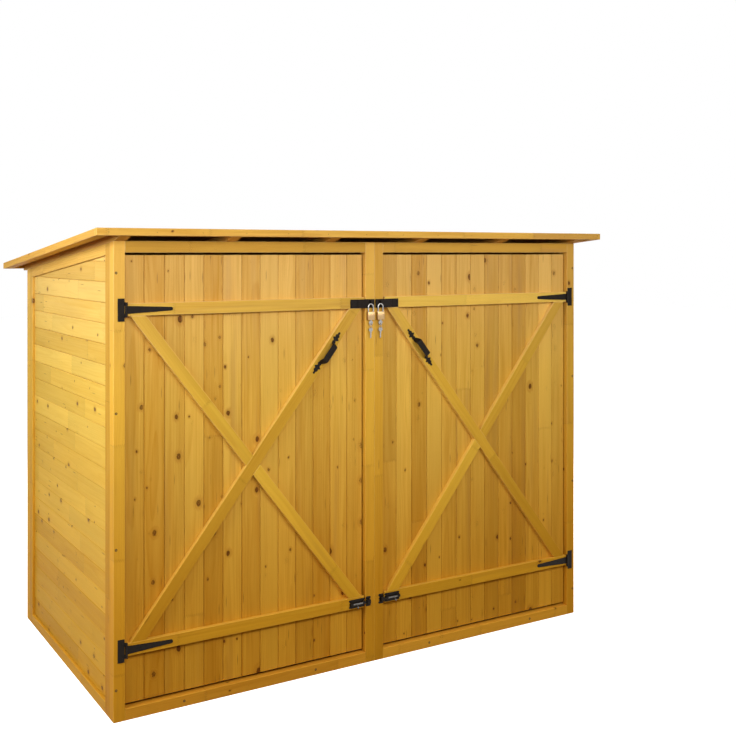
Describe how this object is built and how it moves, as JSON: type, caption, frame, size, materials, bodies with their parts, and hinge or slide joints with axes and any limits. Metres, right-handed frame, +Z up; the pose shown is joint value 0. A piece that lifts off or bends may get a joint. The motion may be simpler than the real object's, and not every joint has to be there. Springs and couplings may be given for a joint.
{
  "type": "closed wooden bike shelter",
  "caption": "Closed timber bike store with framed board walls, a single-pitch roof and outward-opening ledged and cross-braced doors with hasps and barrel bolts.",
  "frame": {"origin": "at ground level, under the middle of the roof's outline", "axes": "+X to the right seen from the doors, +Y from the doors to the back wall, +Z up"},
  "size_m": [2.116, 1.284, 1.581],
  "materials": {
    "frame_timber": "planed softwood with a clear honey-yellow stain, eased edges",
    "wall_boards": "tongue-and-groove softwood boards, honey-yellow stain, small dark knots",
    "door_boards": "tongue-and-groove softwood boards, honey-yellow stain, small dark knots",
    "door_braces": "planed softwood with a clear honey-yellow stain, eased edges",
    "roof_timber": "sawn softwood with a honey-yellow stain",
    "felt": "mineral-faced bitumen felt, matt",
    "black_iron": "black powder coat, satin",
    "brass": "brushed brass",
    "chrome": "polished plating"
  },
  "bodies": {
    "store": {"front_posts": "frame_timber", "front_top_rails": "frame_timber", "front_bottom_rails": "frame_timber", "left_wall_posts": "frame_timber", "left_wall_rails": "frame_timber", "left_wall_boards": "wall_boards", "right_wall_posts": "frame_timber", "right_wall_rails": "frame_timber", "right_wall_boards": "wall_boards", "back_posts": "frame_timber", "back_rails": "frame_timber", "back_boards": "wall_boards", "rafters": "roof_timber", "roof_boards": "roof_timber", "roof_felt": "felt", "front_fascia": "frame_timber", "back_fascia": "frame_timber", "side_fascias": "frame_timber", "post_hinge_plates": "black_iron", "hasp_staples": "black_iron", "bolt_keepers": "black_iron"},
    "left_door": {"left_door_boards": "door_boards", "left_door_ledges": "door_braces", "left_door_main_brace": "door_braces", "left_door_cross_brace": "door_braces", "left_hinge_straps": "black_iron", "left_hasp": "black_iron", "left_handle": "black_iron", "left_padlock_body": "brass", "left_padlock_shackle": "chrome", "left_keys": "chrome", "left_bolt_plate": "black_iron"},
    "right_door": {"right_door_boards": "door_boards", "right_door_ledges": "door_braces", "right_door_main_brace": "door_braces", "right_door_cross_brace": "door_braces", "right_hinge_straps": "black_iron", "right_hasp": "black_iron", "right_handle": "black_iron", "right_padlock_body": "brass", "right_padlock_shackle": "chrome", "right_keys": "chrome", "right_bolt_plate": "black_iron"},
    "left_bolt": {"left_bolt_rod": "chrome"},
    "right_bolt": {"right_bolt_rod": "chrome"}
  },
  "joints": [
    {"name": "left_door_swing", "type": "hinge", "parent": "store", "child": "left_door", "pos_m": [-0.939, -0.573, 0.7725], "axis": [0, 0, -1], "range_deg": [0, 180]},
    {"name": "right_door_swing", "type": "hinge", "parent": "store", "child": "right_door", "pos_m": [0.939, -0.573, 0.7725], "axis": [0, 0, 1], "range_deg": [0, 180]},
    {"name": "left_bolt_slide", "type": "slide", "parent": "left_door", "child": "left_bolt", "axis": [1, 0, 0], "range_m": [0, 0.022]},
    {"name": "right_bolt_slide", "type": "slide", "parent": "right_door", "child": "right_bolt", "axis": [-1, 0, 0], "range_m": [0, 0.022]}
  ]
}
